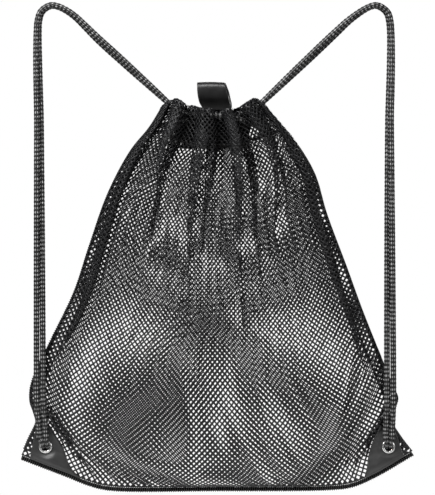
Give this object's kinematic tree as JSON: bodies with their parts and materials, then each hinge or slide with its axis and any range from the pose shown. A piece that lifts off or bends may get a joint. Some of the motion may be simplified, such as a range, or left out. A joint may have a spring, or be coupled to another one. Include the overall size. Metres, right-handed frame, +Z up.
{
  "type": "drawstring backpack",
  "caption": "Net drawstring backpack with a gathered casing, braided cord straps, leather corner patches with metal eyelets and a top hang loop.",
  "frame": {"origin": "midway between the crowns of the two strap loops, on the cords' centre lines, where the straps hang", "axes": "+Z up, +Y from the outer panel towards the wearer's side panel, +X to the right seen from the outer panel"},
  "size_m": [0.391, 0.0988, 0.4893],
  "materials": {
    "net": "matt knitted polyester net, diamond holes",
    "lining_tape": "matt plain-woven tape",
    "seam_tape": "matt overlocked seam with ridged thread",
    "corner_leather": "fine-grained, soft sheen",
    "loop_band": "smooth band, soft sheen",
    "cord": "braided, black with grey flecks",
    "eyelet_metal": "polished nickel"
  },
  "bodies": {
    "bag": {"front_net_panel": "net", "back_net_panel": "net", "front_casing_lining": "lining_tape", "back_casing_lining": "lining_tape", "left_side_seam": "seam_tape", "right_side_seam": "seam_tape", "bottom_binding": "seam_tape", "front_left_corner_patch": "corner_leather", "back_left_corner_patch": "corner_leather", "front_right_corner_patch": "corner_leather", "back_right_corner_patch": "corner_leather", "left_eyelet": "eyelet_metal", "right_eyelet": "eyelet_metal", "left_eyelet_washer": "eyelet_metal", "right_eyelet_washer": "eyelet_metal", "left_cord_knot": "cord", "right_cord_knot": "cord", "left_cord_in_casing": "cord", "right_cord_in_casing": "cord", "hang_loop_anchor": "loop_band"},
    "left_strap": {"left_strap_front_cord": "cord", "left_strap_back_cord": "cord"},
    "right_strap": {"right_strap_front_cord": "cord", "right_strap_back_cord": "cord"},
    "hang_loop": {"hang_loop": "loop_band"}
  },
  "joints": [
    {"name": "left_strap_swing", "type": "hinge", "parent": "bag", "child": "left_strap", "pos_m": [-0.0473, -0.0068, -0.0973], "axis": [0.336, 0.0133, 0.9418], "range_deg": [0, 100]},
    {"name": "right_strap_swing", "type": "hinge", "parent": "bag", "child": "right_strap", "pos_m": [0.0463, -0.0068, -0.0973], "axis": [0.3395, -0.0133, -0.9405], "range_deg": [0, 100]},
    {"name": "hang_loop_flop", "type": "hinge", "parent": "bag", "child": "hang_loop", "pos_m": [-0.0005, 0.0045, -0.0987], "axis": [1, 0, 0], "range_deg": [-60, 75]}
  ]
}
